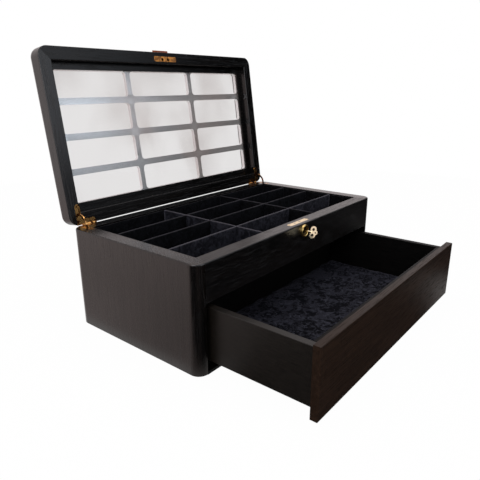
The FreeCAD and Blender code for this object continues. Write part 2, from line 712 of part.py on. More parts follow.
def drawer():
    """The drawer, built closed: a panel in front of a box of boards, with a pad inside."""
    outer_x = INNER_X - DRAWER_SIDE_GAP
    inner_x = outer_x - DRAWER_BOARD
    low = BOTTOM_THICKNESS + RUNNER_HEIGHT + DRAWER_RUN_GAP
    top = SHELF_BOTTOM - DRAWER_TOP_GAP
    rear = INNER_Y - DRAWER_BACK_GAP
    front_inner = REBATE_Y + DRAWER_BOARD
    rear_inner = rear - DRAWER_BOARD
    panel_x = POST_X - PANEL_SIDE_GAP
    panel = box(-panel_x, panel_x, -HALF_D, REBATE_Y,
                BOTTOM_THICKNESS + PANEL_BOTTOM_GAP, RAIL_BOTTOM - PANEL_TOP_GAP)
    front_edges = [edge for edge in panel.Edges if edge.BoundBox.YMax < REBATE_Y - 1]
    panel = panel.makeFillet(PANEL_ROUNDING, front_edges)
    side = eased_box(-outer_x, -inner_x, REBATE_Y, rear, low, top, DRAWER_EDGE_ROUNDING)
    inner_front = eased_box(-inner_x, inner_x, REBATE_Y, front_inner, low, top,
                            DRAWER_EDGE_ROUNDING)
    back = eased_box(-inner_x, inner_x, rear_inner, rear, low, top, DRAWER_EDGE_ROUNDING)
    floor_z = low + BOTTOM_PANEL_LIFT
    floor_top = floor_z + BOTTOM_PANEL_THICKNESS
    floor_x = inner_x + BOTTOM_PANEL_GROOVE
    floor = box(-floor_x, floor_x, front_inner - BOTTOM_PANEL_GROOVE,
                rear_inner + BOTTOM_PANEL_GROOVE, floor_z, floor_top)
    pad = eased_box(-inner_x + SOFT_GAP, inner_x - SOFT_GAP, front_inner + SOFT_GAP,
                    rear_inner - SOFT_GAP, floor_top, floor_top + DRAWER_PAD_THICKNESS,
                    DRAWER_PAD_ROUNDING)
    pieces = {
        "drawer_front_panel": panel,
        "drawer_inner_front": inner_front.cut(floor),
        "drawer_side_left": side.cut(floor),
        "drawer_side_right": mirrored(side).cut(floor),
        "drawer_back": back.cut(floor),
        "drawer_bottom": floor,
        "drawer_pad": pad,
    }
    for piece in pieces.values():
        piece.translate(Vec(0, -DRAWER_OUT, 0))
    return pieces


def lid_ring():
    """The lid frame in one: recessed from below, with a lip round the window."""
    block = rounded_box(-HALF_L, HALF_L, -HALF_D, HALF_D, LID_BOTTOM, LID_TOP, POST_WIDTH)
    block = block.makeFillet(LID_TOP_ROUNDING, edges_at(block, LID_TOP))
    block = block.makeFillet(LID_EDGE_ROUNDING, edges_at(block, LID_BOTTOM))
    recess = box(-RECESS_X, RECESS_X, -RECESS_Y, RECESS_Y, LID_BOTTOM - 1, LIP_BOTTOM)
    window = rounded_box(-WINDOW_X, WINDOW_X, WINDOW_FRONT, WINDOW_BACK, LIP_BOTTOM - 1,
                         LID_TOP + 1, WINDOW_CORNER)
    frame = block.cut(recess).cut(window)
    mouth = []
    for edge in edges_at(frame, LID_BOTTOM):
        bounds = edge.BoundBox
        if abs(bounds.XMin) < RECESS_X + 1e-3 and abs(bounds.YMin) < RECESS_Y + 1e-3:
            mouth.append(edge)
    return frame.makeFillet(RECESS_ROUNDING, mouth)


def tab():
    """The leather pull in the middle of the lid's front edge."""
    middle = LID_BOTTOM + TAB_HEIGHT
    half = TAB_WIDTH / 2
    half_thickness = TAB_THICKNESS / 2
    return box(-half, half, -HALF_D - TAB_REACH, -HALF_D + TAB_ROOT,
               middle - half_thickness, middle + half_thickness)


def rounded_tab():
    """The pull with its outer edges rounded over, as folded leather is."""
    shape = tab()
    front = -HALF_D - TAB_REACH
    edges = []
    for edge in edges_along(shape, X_AXIS):
        if abs(edge.BoundBox.YMin - front) < 1e-6:
            edges.append(edge)
    return shape.makeFillet(TAB_THICKNESS / 2 - 0.05, edges)


def lid_rails():
    """The four rails of the lid, mitred at the corners."""
    ring = lid_ring().cut(strike_pockets()).cut(tab())
    hinge_room = upside_down(hinge_pockets())
    ring = ring.cut(hinge_room).cut(mirrored(hinge_room))
    out = 1.0
    far_x = HALF_L + out
    far_y = HALF_D + out
    near_x = WINDOW_X - WINDOW_CORNER
    front = WINDOW_FRONT + WINDOW_CORNER
    back = WINDOW_BACK - WINDOW_CORNER
    front_region = [(-far_x, -far_y), (far_x, -far_y), (near_x, front), (-near_x, front)]
    back_region = [(far_x, far_y), (-far_x, far_y), (-near_x, back), (near_x, back)]
    side_region = [(-far_x, far_y), (-far_x, -far_y), (-near_x, front), (-near_x, back)]
    low = LID_BOTTOM - out
    high = LID_TOP + out
    left = ring.common(prism(side_region, low, high))
    return {
        "lid_rail_front": ring.common(prism(front_region, low, high)),
        "lid_rail_back": ring.common(prism(back_region, low, high)),
        "lid_rail_left": left,
        "lid_rail_right": mirrored(left),
    }


def bar_lines(middle, spacing, count):
    """The middle lines of evenly spaced lattice bars."""
    first = middle - spacing * (count - 1) / 2
    return [first + spacing * i for i in range(count)]


def lattice():
    """The grid over the glass: one sheet with a rounded opening over every compartment."""
    sheet = box(-RECESS_X + GLAZING_GAP, RECESS_X - GLAZING_GAP, -RECESS_Y + GLAZING_GAP,
                RECESS_Y - GLAZING_GAP, LATTICE_BOTTOM, LIP_BOTTOM)
    columns = bar_lines(0, LATTICE_COLUMN_SPACING, COLUMNS - 1)
    rows = bar_lines(-LATTICE_ROW_FORWARD, LATTICE_ROW_SPACING, ROWS - 1)
    lefts = [-WINDOW_X] + [x + LATTICE_BAR_X / 2 for x in columns]
    rights = [x - LATTICE_BAR_X / 2 for x in columns] + [WINDOW_X]
    fronts = [WINDOW_FRONT] + [y + LATTICE_BAR_Y / 2 for y in rows]
    backs = [y - LATTICE_BAR_Y / 2 for y in rows] + [WINDOW_BACK]
    for x0, x1 in zip(lefts, rights):
        for y0, y1 in zip(fronts, backs):
            sheet = sheet.cut(rounded_box(x0, x1, y0, y1, LATTICE_BOTTOM - 1,
                                          LIP_BOTTOM + 1, WINDOW_CORNER))
    return sheet


def glass():
    return box(-RECESS_X + GLAZING_GAP, RECESS_X - GLAZING_GAP, -RECESS_Y + GLAZING_GAP,
               RECESS_Y - GLAZING_GAP, GLASS_BOTTOM, LATTICE_BOTTOM)


def glazing_beads():
    """Four mitred strips that hold the glass and the lattice in the recess."""
    outer_x = RECESS_X - GLAZING_GAP
    outer_y = RECESS_Y - GLAZING_GAP
    front = [(-outer_x, -outer_y), (outer_x, -outer_y), (WINDOW_X, WINDOW_FRONT),
             (-WINDOW_X, WINDOW_FRONT)]
    back = [(outer_x, outer_y), (-outer_x, outer_y), (-WINDOW_X, WINDOW_BACK),
            (WINDOW_X, WINDOW_BACK)]
    side = [(-outer_x, outer_y), (-outer_x, -outer_y), (-WINDOW_X, WINDOW_FRONT),
            (-WINDOW_X, WINDOW_BACK)]
    side_bead = prism(side, BEAD_BOTTOM, GLASS_BOTTOM)
    return Part.makeCompound([
        prism(front, BEAD_BOTTOM, GLASS_BOTTOM),
        prism(back, BEAD_BOTTOM, GLASS_BOTTOM),
        side_bead,
        mirrored(side_bead),
    ])


def leaf_screws(way):
    """The four screws of the box leaves, or of the lid leaves."""
    level = LEAF_TOP if way > 0 else LID_BOTTOM
    left = [screw(x, y, level, way) for x, y in LEAF_SCREWS]
    return Part.makeCompound(left + [mirrored(piece) for piece in left])


def lid():
    """The lid with its fittings, built closed and then turned open about the pin."""
    pieces = lid_rails()
    left_leaf = upside_down(leaf(0, PIN_CLEARANCE))
    pieces["glazing_beads"] = glazing_beads()
    pieces["lid_glass"] = glass()
    pieces["lid_lattice"] = lattice()
    pieces["pull_tab"] = rounded_tab()
    pieces["strike_plate"] = strike_plate()
    pieces["strike_screws"] = Part.makeCompound(
        [screw(x, LOCK_Y, LID_BOTTOM, -1) for x in STRIKE_SCREW_XS])
    pieces["lid_leaf_left"] = left_leaf
    pieces["lid_leaf_right"] = mirrored(left_leaf)
    pieces["lid_leaf_screws"] = leaf_screws(-1)
    for piece in pieces.values():
        piece.rotate(Vec(0, PIN_Y, PIN_Z), X_AXIS, -LID_OPEN_ANGLE)
    return pieces


def hinge_fittings():
    """What stays on the carcass, and the two arcs that float between the leaves."""
    box_leaf = leaf(1, 0)
    arm = quadrant_arm()
    pin = hinge_pin()
    return {
        "box_leaf_left": box_leaf,
        "box_leaf_right": mirrored(box_leaf),
        "box_leaf_screws": leaf_screws(1),
        "hinge_pin_left": pin,
        "hinge_pin_right": mirrored(pin),
        "quadrant_arm_left": arm,
        "quadrant_arm_right": mirrored(arm),
    }


def lock_fittings():
    return {
        "lock_case": lock_case(),
        "lock_plate": lock_plate(),
        "lock_screws": Part.makeCompound(
            [screw(x, LOCK_Y, BOX_HEIGHT, 1) for x in PLATE_SCREW_XS]),
        "lock_bolt": lock_bolt(),
        "key_barrel": key_barrel(),
        "key_escutcheon": escutcheon(),
        "key": key(),
    }


def all_pieces():
    pieces = carcass_walls()
    pieces["shelf"] = shelf()
    pieces["bottom_board"] = bottom_board()
    pieces["drawer_runners"] = drawer_runners()
    pieces["drawer_stops"] = drawer_stops()
    pieces["compartment_pad"] = compartment_pad()
    pieces.update(linings())
    pieces.update(dividers())
    pieces.update(lock_fittings())
    pieces.update(hinge_fittings())
    pieces.update(lid())
    pieces.update(drawer())
    return pieces


os.makedirs("parts", exist_ok=True)
for name, shape in all_pieces().items():
    shape.exportStep(f"parts/{name}.step")
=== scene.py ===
import math

import bmesh
import bpy
from mathutils import Matrix, Vector, noise


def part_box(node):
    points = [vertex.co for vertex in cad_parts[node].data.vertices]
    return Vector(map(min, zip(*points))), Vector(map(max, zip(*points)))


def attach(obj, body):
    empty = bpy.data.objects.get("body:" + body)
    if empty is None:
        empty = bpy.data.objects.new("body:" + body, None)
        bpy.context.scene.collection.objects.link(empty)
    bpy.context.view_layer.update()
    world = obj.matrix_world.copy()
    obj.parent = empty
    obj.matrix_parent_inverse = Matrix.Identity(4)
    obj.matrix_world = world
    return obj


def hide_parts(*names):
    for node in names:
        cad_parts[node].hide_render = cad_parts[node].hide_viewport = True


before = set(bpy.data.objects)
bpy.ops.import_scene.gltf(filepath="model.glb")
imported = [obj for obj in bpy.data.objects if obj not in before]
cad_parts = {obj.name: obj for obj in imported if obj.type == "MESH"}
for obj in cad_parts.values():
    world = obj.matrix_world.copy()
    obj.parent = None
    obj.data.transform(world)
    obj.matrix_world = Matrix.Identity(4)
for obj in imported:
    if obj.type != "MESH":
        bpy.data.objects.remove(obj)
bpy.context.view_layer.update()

# The glasses box dressed: black stained wood, blue-black velvet, brass
# fittings, a silver lattice behind the lid's glass and a leather tab.
# Metres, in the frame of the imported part.

LID_LEAN = math.radians(8.0)  # the open lid leans this far past upright

TO_LEFT = (-1.0, 0.0, 0.0)
TO_FRONT = (0.0, -1.0, 0.0)
TO_BACK = (0.0, 1.0, 0.0)
UPWARD = (0.0, 0.0, 1.0)


# Shader maths

class Value:
    """A value inside a finish. Sums on it add Math nodes."""

    def __init__(self, finish, socket):
        self.finish = finish
        self.socket = socket

    def joined(self, operation, first, second):
        return self.finish.node(
            "ShaderNodeMath", {"operation": operation}, {0: first, 1: second})

    def __add__(self, other):
        return self.joined("ADD", self, other)

    def __sub__(self, other):
        return self.joined("SUBTRACT", self, other)

    def __rsub__(self, other):
        return self.joined("SUBTRACT", other, self)

    def __mul__(self, other):
        return self.joined("MULTIPLY", self, other)

    __radd__ = __add__
    __rmul__ = __mul__


class Finish:
    """A procedural finish: nodes are added one by one and end in a surface."""

    def __init__(self, owner):
        owner.use_nodes = True
        self.owner = owner
        self.tree = owner.node_tree
        self.tree.nodes.clear()

    def node(self, kind, settings=None, sockets=None, output=0):
        made = self.tree.nodes.new(kind)
        for name, value in (settings or {}).items():
            setattr(made, name, value)
        for name, value in (sockets or {}).items():
            if isinstance(value, Value):
                self.tree.links.new(value.socket, made.inputs[name])
            else:
                made.inputs[name].default_value = value
        return Value(self, made.outputs[output])

    def place(self, stretch=(1.0, 1.0, 1.0), turn=(0.0, 0.0, 0.0)):
        """The spot on the object, turned and then stretched."""
        spot = self.node("ShaderNodeTexCoord", output="Object")
        turned = self.node("ShaderNodeVectorRotate", {"rotation_type": "EULER_XYZ"},
                           {"Vector": spot, "Rotation": turn})
        return self.node("ShaderNodeMapping", None, {"Vector": turned, "Scale": stretch})

    def grain(self, where, scale, detail, roughness, distortion=0.0):
        return self.node("ShaderNodeTexNoise", {"noise_dimensions": "3D"}, {
            "Vector": where, "Scale": scale, "Detail": detail,
            "Roughness": roughness, "Distortion": distortion})

    def along(self, spot, way):
        """How far a spot or a direction reaches along a way."""
        return self.node("ShaderNodeVectorMath", {"operation": "DOT_PRODUCT"},
                         {0: spot, 1: way}, output="Value")

    def limits(self, value, low, high, to_low=0.0, to_high=1.0):
        """A soft step: to_low below low, to_high above high."""
        return self.node("ShaderNodeMapRange", {"interpolation_type": "SMOOTHSTEP"}, {
            "Value": value, "From Min": low, "From Max": high,
            "To Min": to_low, "To Max": to_high})

    def blend(self, amount, first, second):
        return self.node("ShaderNodeMix", {"data_type": "RGBA"}, {
            0: amount, 6: first, 7: second}, output=2)

    def bump(self, height, distance, strength):
        return self.node("ShaderNodeBump", None, {
            "Height": height, "Distance": distance, "Strength": strength})

    def surface(self, **sockets):
        named = {name.replace("_", " "): value for name, value in sockets.items()}
        return self.node("ShaderNodeBsdfPrincipled", None, named)

    def end(self, shader):
        around = isinstance(self.owner, bpy.types.World)
        made = self.tree.nodes.new(
            "ShaderNodeOutputWorld" if around else "ShaderNodeOutputMaterial")
        self.tree.links.new(shader.socket, made.inputs["Surface"])
        return self.owner


def finish(name):
    return Finish(bpy.data.materials.new(name))


def rgba(red, green, blue):
    return (red, green, blue, 1.0)


def tinted(shade, light):
    return rgba(*(part * light for part in shade))


WHITE = rgba(1.0, 1.0, 1.0)
BLACK = rgba(0.0, 0.0, 0.0)


# Finishes

STAIN = ((0.0006, 0.0005, 0.0005), (0.0034, 0.0025, 0.0022))
BROWN_STAIN = ((0.0140, 0.0070, 0.0040), (0.0230, 0.0118, 0.0070))
BOARD_BLACK = ((0.0012, 0.0011, 0.0011), (0.0042, 0.0036, 0.0034))
BOARD_BROWN = ((0.0040, 0.0028, 0.0020), (0.0090, 0.0064, 0.0048))


def stained_wood(name, stretch, turn=(0.0, 0.0, 0.0), light=1.0, shades=STAIN,
                 satin=0.17, gloss=0.5, relief=0.45):
    """Black stained veneer: fine open pores along the board under satin lacquer.

    satin is how rough the lacquer is, gloss how strongly it mirrors and relief
    how deep the pores feel. light scales the stain's colour: above 1 it is painted light.
    """
    make = finish(name)
    along = make.place(stretch, turn)
    pores = make.grain(along, 620.0, 2.0, 0.6)
    streaks = make.grain(along, 150.0, 3.0, 0.6, 0.25)
    clouds = make.grain(along, 26.0, 2.0, 0.5, 0.4)
    pore_mask = make.limits(pores, 0.50, 0.64)
    tone = make.limits(streaks * 0.7 + clouds * 0.3, 0.36, 0.66)
    dark, pale = (tinted(shade, light) for shade in shades)
    shade = make.blend(tone, dark, pale)
    shade = make.blend(pore_mask * 0.55, shade, tinted(shades[0], 0.6))
    height = (1 - pore_mask) * 0.7 + streaks * 0.3
    rough = satin + pore_mask * 0.20 + clouds * 0.05
    return make.end(make.surface(
        Base_Color=shade, Roughness=rough, IOR=1.5, Specular_IOR_Level=gloss,
        Specular_Tint=rgba(1.0, 0.93, 0.91), Normal=make.bump(height, 0.00009, relief)))


def black_board(name, gloss, satin, shades=BOARD_BLACK):
    """The drawer's sides and hidden boards: plain black lacquer over a close grain."""
    make = finish(name)
    along = make.place((4.0, 4.0, 60.0))
    streaks = make.grain(along, 12.0, 4.0, 0.6)
    specks = make.grain(make.place(), 900.0, 2.0, 0.5)
    dark, pale = (rgba(*shade) for shade in shades)
    shade = make.blend(make.limits(streaks, 0.3, 0.7), dark, pale)
    rough = satin + streaks * 0.16
    return make.end(make.surface(
        Base_Color=shade, Roughness=rough, IOR=1.5, Specular_IOR_Level=gloss,
        Normal=make.bump(specks * 0.4 + streaks * 0.6, 0.00010, 0.6)))


PILE_DARK = (0.0006, 0.0006, 0.0013)
PILE_PALE = (0.0100, 0.0100, 0.0140)
PILE_FLECK = (0.0260, 0.0265, 0.0350)
# The last colour is a painted highlight for the pile's upward faces.
PILE_PAINTED_TOP_LIGHT = (0.0520, 0.0480, 0.0560)


def velvet(name, crush, patch_scale, light, sheen, painted_top_light=0.0, gloss=0.07):
    """Blue-black velvet. The pile lies in patches that catch the light differently.

    crush makes the patches crisp, and a painted highlight pales the pile where it faces up.
    light scales the pile's colour: below 1 it is painted shade, above 1 painted light.
    """
    make = finish(name)
    blur = 1.25 - 0.75 * crush
    spot = make.place()
    patches = make.grain(spot, patch_scale, 5.0, 0.66, 0.9)
    swirls = make.grain(spot, patch_scale * 2.6, 4.0, 0.6, 1.4)
    pile = make.grain(spot, 1500.0, 2.0, 0.7)
    lie = make.limits(patches * 0.55 + swirls * 0.45, 0.50 - 0.09 * blur, 0.50 + 0.09 * blur)
    flecks = make.limits(swirls, 0.52, 0.70)
    shade = make.blend(
        lie * (0.35 + 0.65 * crush), tinted(PILE_DARK, light), tinted(PILE_PALE, light))
    shade = make.blend(flecks * (crush * crush * 0.75), shade, tinted(PILE_FLECK, light))
    shade = make.blend(make.limits(pile, 0.35, 0.75) * 0.35, shade, tinted(PILE_DARK, 1.0))
    # Painted highlight: the pile is painted paler where its face turns up.
    level = make.along(make.node("ShaderNodeNewGeometry", output="Normal"), UPWARD)
    shade = make.blend(make.limits(level, 0.35, 0.9) * painted_top_light, shade, rgba(*PILE_PAINTED_TOP_LIGHT))
    height = lie * crush + pile * 0.18
    return make.end(make.surface(
        Base_Color=shade, Roughness=0.86 - lie * 0.16, Specular_IOR_Level=gloss,
        Sheen_Weight=sheen, Sheen_Roughness=0.34, Sheen_Tint=rgba(0.56, 0.53, 0.66),
        Normal=make.bump(height, 0.0011, 0.75)))


BRASS_TINT = (0.80, 0.56, 0.21)
BRASS_STAIN = (0.13, 0.045, 0.012)
PALE_PARTS = (1.0, 0.67, 0.54)
PALEST = 0.92


def brass(name, rough, age, pale=0.0, metal=1.0, tint=BRASS_TINT, patch=210.0,
          worn=BRASS_STAIN):
    """Polished brass with brown stains and fine rubbing marks.

    age is how much of it is stained, patch how close the stains lie, and worn
    their colour. pale takes the brass towards ivory.
    """
    make = finish(name)
    spot = make.place()
    spots = make.grain(spot, patch, 4.0, 0.6, 0.5)
    rubs = make.grain(make.place((1.0, 1.0, 9.0)), 1400.0, 2.0, 0.6)
    aged = make.limits(spots, 0.56 - 0.13 * age, 0.72 - 0.17 * age) * age
    clean = [part + (PALEST - part) * pale * weight for part, weight in zip(tint, PALE_PARTS)]
    shade = make.blend(aged, rgba(*clean), rgba(*worn))
    return make.end(make.surface(
        Base_Color=shade, Metallic=metal, Roughness=rough + aged * 0.22 + rubs * 0.06,
        Normal=make.bump(rubs + spots * 0.4, 0.00004, 0.5)))


def steel():
    make = finish("plain_steel")
    rubs = make.grain(make.place((1.0, 12.0, 1.0)), 600.0, 3.0, 0.6)
    shade = make.blend(rubs, rgba(0.42, 0.42, 0.43), rgba(0.60, 0.60, 0.60))
    return make.end(make.surface(
        Base_Color=shade, Metallic=1.0, Roughness=0.26 + rubs * 0.16,
        Normal=make.bump(rubs, 0.00004, 0.4)))


def silver_paint():
    """The lattice: one cut sheet in satin silver, its faces faintly brushed."""
    make = finish("silver_lattice_paint")
    spot = make.place()
    mist = make.grain(spot, 9.0, 2.0, 0.5)
    specks = make.grain(spot, 1800.0, 2.0, 0.7)
    shade = make.blend(
        make.limits(mist, 0.3, 0.7), rgba(0.94, 0.945, 0.955), rgba(0.97, 0.975, 0.98))
    shade = make.blend(specks * 0.2, shade, rgba(0.98, 0.98, 0.98))
    return make.end(make.surface(
        Base_Color=shade, Metallic=0.70, Roughness=0.12 + specks * 0.06, IOR=1.5,
        Normal=make.bump(specks, 0.00005, 0.5)))


def clear_glass():
    """The lid's pane: see-through, with a mirror gloss at low angles.

    A faint warm reflection is painted on its upper part, a little stronger to the right. Only
    front faces shine, so that the pane doesn't mirror inside.
    """
    make = finish("clear_pane")
    mist = make.grain(make.place((1.0, 0.8, 0.8)), 7.0, 2.0, 0.45, 0.4)
    # Painted reflection: a warm veil that grows towards the top and a little to the right.
    painted_reflection = make.limits(mist + make.along(make.place(), (0.1, 0.0, 1.25)), 0.78, 1.20)
    front = 1 - make.node("ShaderNodeNewGeometry", output="Backfacing")
    gloss = make.node("ShaderNodeFresnel", None, {"IOR": 1.5}) * front
    through = make.node("ShaderNodeBsdfTransparent", None, {"Color": rgba(0.890, 0.884, 0.884)})
    # The warm base colour shows where the painted reflection is laid on.
    shine = make.surface(
        Base_Color=rgba(0.40, 0.30, 0.27), Metallic=0.0,
        Roughness=0.05 + painted_reflection * 0.05, IOR=1.5)
    return make.end(make.node("ShaderNodeMixShader", None, {
        0: gloss * 0.8 + painted_reflection * front * 0.40, 1: through, 2: shine}))


def leather():
    """The pull tab: red-brown leather with a fine grain, darker at the creases."""
    make = finish("red_brown_leather")
    spot = make.place()
    cells = make.node("ShaderNodeTexVoronoi", {"feature": "F1"}, {"Vector": spot, "Scale": 1100.0})
    clouds = make.grain(spot, 160.0, 4.0, 0.6)
    creases = make.limits(cells, 0.25, 0.75)
    shade = make.blend(clouds, rgba(0.19, 0.036, 0.010), rgba(0.32, 0.075, 0.022))
    shade = make.blend(creases * 0.4, shade, rgba(0.11, 0.030, 0.014))
    return make.end(make.surface(
        Base_Color=shade, Roughness=0.42 + clouds * 0.16, Specular_IOR_Level=0.2,
        Normal=make.bump(1 - creases, 0.00012, 0.7)))


GRAIN_STRETCH = 0.045
ALONG_X = (GRAIN_STRETCH, 1.0, 1.0)
ALONG_Z = (1.0, 1.0, GRAIN_STRETCH)
WITH_LID = (LID_LEAN, 0.0, 0.0)

wood_long = stained_wood("stained_wood_long", ALONG_X)
wood_front = stained_wood("stained_wood_front", ALONG_X, satin=0.30)
# Painted light: the sides take the same stain painted 1.6 times lighter.
wood_side_painted_light = stained_wood("stained_wood_side_painted_light", ALONG_Z, light=1.6, relief=0.24)
wood_lid_long = stained_wood("stained_wood_lid_long", ALONG_X, WITH_LID, gloss=0.3, relief=0.3)
wood_lid_side = stained_wood("stained_wood_lid_side", ALONG_Z, WITH_LID, gloss=0.5, relief=0.3)
wood_drawer = stained_wood(
    "stained_wood_drawer", ALONG_X, shades=BROWN_STAIN, satin=0.34, gloss=0.12, relief=0.25)
board_lacquer = black_board("black_board_lacquer", gloss=0.06, satin=0.38)
side_lacquer = black_board("drawer_side_lacquer", gloss=0.32, satin=0.34, shades=BOARD_BROWN)
brass_plate = brass("bright_brass_plate", 0.17, 0.35, pale=0.5)
brass_strike = brass(
    "brass_strike", 0.22, 0.8, metal=0.6, tint=(0.84, 0.34, 0.075),
    patch=110.0, worn=(0.07, 0.022, 0.006))
brass_hinge = brass(
    "aged_hinge_brass", 0.14, 1.0, tint=(0.66, 0.34, 0.11),
    patch=120.0, worn=(0.040, 0.012, 0.004))
brass_ring = brass("dim_brass_ring", 0.24, 0.6)
# Painted shade: the barrel sits deep inside the ring, and its brass is painted near black for the
# shade there.
brass_barrel_painted_shade = brass(
    "barrel_brass_painted_shade", 0.36, 0.8, tint=(0.22, 0.15, 0.06), worn=(0.03, 0.015, 0.006))
brass_key = brass("pale_key_brass", 0.12, 0.3, pale=0.55, tint=(0.66, 0.56, 0.30))
plain_steel = steel()
silver = silver_paint()
pane = clear_glass()
tab_leather = leather()
# Painted light and shade: one velvet in lit and shaded copies. The front long and cross dividers
# and the drawer pad are painted lighter; the linings, the middle and back dividers and the
# compartment floor are painted darker.
velvet_lining = velvet("velvet_lining", 0.5, 34.0, light=0.4, sheen=0.03, painted_top_light=0.35)
velvet_painted_lit = velvet(
    "velvet_front_dividers", 0.45, 34.0, light=2.4, sheen=0.18, painted_top_light=0.8, gloss=0.12)
velvet_painted_shade = velvet("velvet_back_dividers", 0.5, 34.0, light=0.4, sheen=0.03, painted_top_light=0.4)
velvet_floor = velvet("velvet_floor", 0.75, 30.0, light=0.5, sheen=0.03)
velvet_pad_painted_lit = velvet("crushed_velvet_pad", 1.0, 38.0, light=2.0, sheen=0.04)

FINISHES = {
    "side_left": wood_side_painted_light, "side_right": wood_side_painted_light,
    "back_board": wood_long, "front_rail": wood_front,
    "lid_rail_front": wood_lid_long, "lid_rail_back": wood_lid_long,
    "lid_rail_left": wood_lid_side, "lid_rail_right": wood_lid_side,
    "glazing_beads": wood_lid_long,
    "drawer_front_panel": wood_drawer, "drawer_side_left": side_lacquer,
    "lid_lattice": silver, "lid_glass": pane, "pull_tab": tab_leather,
    "lock_plate": brass_plate, "lock_screws": brass_plate,
    "strike_plate": brass_strike, "strike_screws": brass_strike,
    "key_escutcheon": brass_ring, "key": brass_key, "key_barrel": brass_barrel_painted_shade,
}
BY_SLOT = {
    "black_wood": wood_long, "black_board": board_lacquer,
    "brass": brass_hinge, "steel": plain_steel,
    "silver_grid": silver, "clear_glass": pane,
    "leather": tab_leather, "velvet": velvet_lining,
}


def dress_nodes():
    """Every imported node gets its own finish, or the one of its slot."""
    for name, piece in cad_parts.items():
        packed = piece.data.materials
        slot = packed[0].name.split(".")[0] if packed else "black_wood"
        chosen = FINISHES.get(name) or BY_SLOT.get(slot, wood_long)
        for place in piece.material_slots:
            place.material = chosen


# Velvet pieces

CLOTH_WAVES = 26.0  # waves of the cloth in a metre
SEED_SHIFT = 7.3
VELVET_WAVE = 0.00035  # how far the cloth over a board rises and falls
BOARD_STEP = 0.006
OUTLINE_STEP = 0.007
CORNER_STEPS = 4
TOP_ROUNDING = 0.42  # of a board's thickness
FOOT_ROUNDING = 0.3  # of half its thickness
GRID_STEP = 0.005
SIDE_PRESS = 0.00015  # what the cloth is pressed in at a board's faces
TOP_PRESS = 0.0002
TOP_BAND = 0.004


def new_piece(name, mesh_maker, material, smooth=True):
    mesh = bpy.data.meshes.new(name)
    shape = bmesh.new()
    mesh_maker(shape)
    bmesh.ops.recalc_face_normals(shape, faces=shape.faces)
    shape.to_mesh(mesh)
    shape.free()
    mesh.materials.append(material)
    for face in mesh.polygons:
        face.use_smooth = smooth
    piece = bpy.data.objects.new(name, mesh)
    bpy.context.scene.collection.objects.link(piece)
    return piece


def wave(point, seed):
    """A slow unevenness of cloth over a board, from -1 to 1."""
    return noise.noise(Vector(point) * CLOTH_WAVES + Vector((seed, SEED_SHIFT, -seed)))


def rounded_outline(half_width, low, high, round_top, round_low):
    """A closed outline of a covered board's end: width by height, corners rounded."""
    corners = [(half_width, high, round_top, 0), (-half_width, high, round_top, 90),
               (-half_width, low, round_low, 180), (half_width, low, round_low, 270)]
    points = []
    for x, z, radius, start in corners:
        centre_x = x - math.copysign(radius, x)
        centre_z = z - radius if z == high else z + radius
        for step in range(CORNER_STEPS + 1):
            angle = math.radians(start + 90.0 * step / CORNER_STEPS)
            points.append((centre_x + radius * math.cos(angle),
                           centre_z + radius * math.sin(angle)))
    return points


def with_sides(points, spacing):
    """The outline with points added along its long straight sides."""
    out = []
    for first, second in zip(points, points[1:] + points[:1]):
        gap = math.dist(first, second)
        count = max(1, round(gap / spacing))
        out += [(first[0] + (second[0] - first[0]) * k / count,
                 first[1] + (second[1] - first[1]) * k / count) for k in range(count)]
    return out


def covered_board(name, node, seed, cover):
    """A thin board covered in velvet: it stands where its node stands."""
    low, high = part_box(node)
    size = high - low
    along = 0 if size.x > size.y else 1
    across = 1 - along
    half = size[across] / 2
    middle = (low[across] + high[across]) / 2
    ends = rounded_outline(
        half, low.z, high.z, size[across] * TOP_ROUNDING, half * FOOT_ROUNDING)
    outline = with_sides(ends, OUTLINE_STEP)
    count = max(2, round(size[along] / BOARD_STEP))

    def build(shape):
        rings = []
        for place in range(count + 1):
            share = place / count
            ring = []
            for side, height in outline:
                point = [0.0, 0.0, height]
                point[along] = low[along] + size[along] * share
                point[across] = middle + side
                give = wave(point, seed) * VELVET_WAVE
                outward = side / half
                point[across] += give * outward - abs(outward) * math.copysign(SIDE_PRESS, side)
                if height > high.z - TOP_BAND:
                    rise = wave((point[0], point[1], 0.0), seed + 3.0) * VELVET_WAVE
                    point[2] += rise - TOP_PRESS
                ring.append(shape.verts.new(point))
            rings.append(ring)
        for first, second in zip(rings, rings[1:]):
            for k in range(len(outline)):
                after = (k + 1) % len(outline)
                shape.faces.new((first[k], first[after], second[after], second[k]))
        shape.faces.new(rings[0])
        shape.faces.new(rings[-1])

    piece = new_piece(name, build, cover)
    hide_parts(node)
    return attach(piece, "carcass")


def velvet_grid(name, low, high, top_height, material):
    """A closed pad whose top follows top_height(x, y) and whose underside is flat."""
    across = max(2, round((high.x - low.x) / GRID_STEP))
    deep = max(2, round((high.y - low.y) / GRID_STEP))

    def build(shape):
        def spot(i, j):
            return low.x + (high.x - low.x) * i / across, low.y + (high.y - low.y) * j / deep

        top = [[shape.verts.new((*spot(i, j), top_height(*spot(i, j)))) for j in range(deep + 1)]
               for i in range(across + 1)]
        for i in range(across):
            for j in range(deep):
                shape.faces.new((top[i][j], top[i + 1][j], top[i + 1][j + 1], top[i][j + 1]))
        edge = [top[i][0] for i in range(across)]
        edge += [top[across][j] for j in range(deep)]
        edge += [top[i][deep] for i in range(across, 0, -1)]
        edge += [top[0][j] for j in range(deep, 0, -1)]
        foot = [shape.verts.new((v.co.x, v.co.y, low.z)) for v in edge]
        for k in range(len(edge)):
            after = (k + 1) % len(edge)
            shape.faces.new((edge[k], edge[after], foot[after], foot[k]))
        shape.faces.new(foot)

    return new_piece(name, build, material)


FLOOR_CROWN = 0.0016  # how much fuller a compartment's floor is in its middle
FLOOR_WAVE = 0.0003
FLOOR_EASE = 0.008


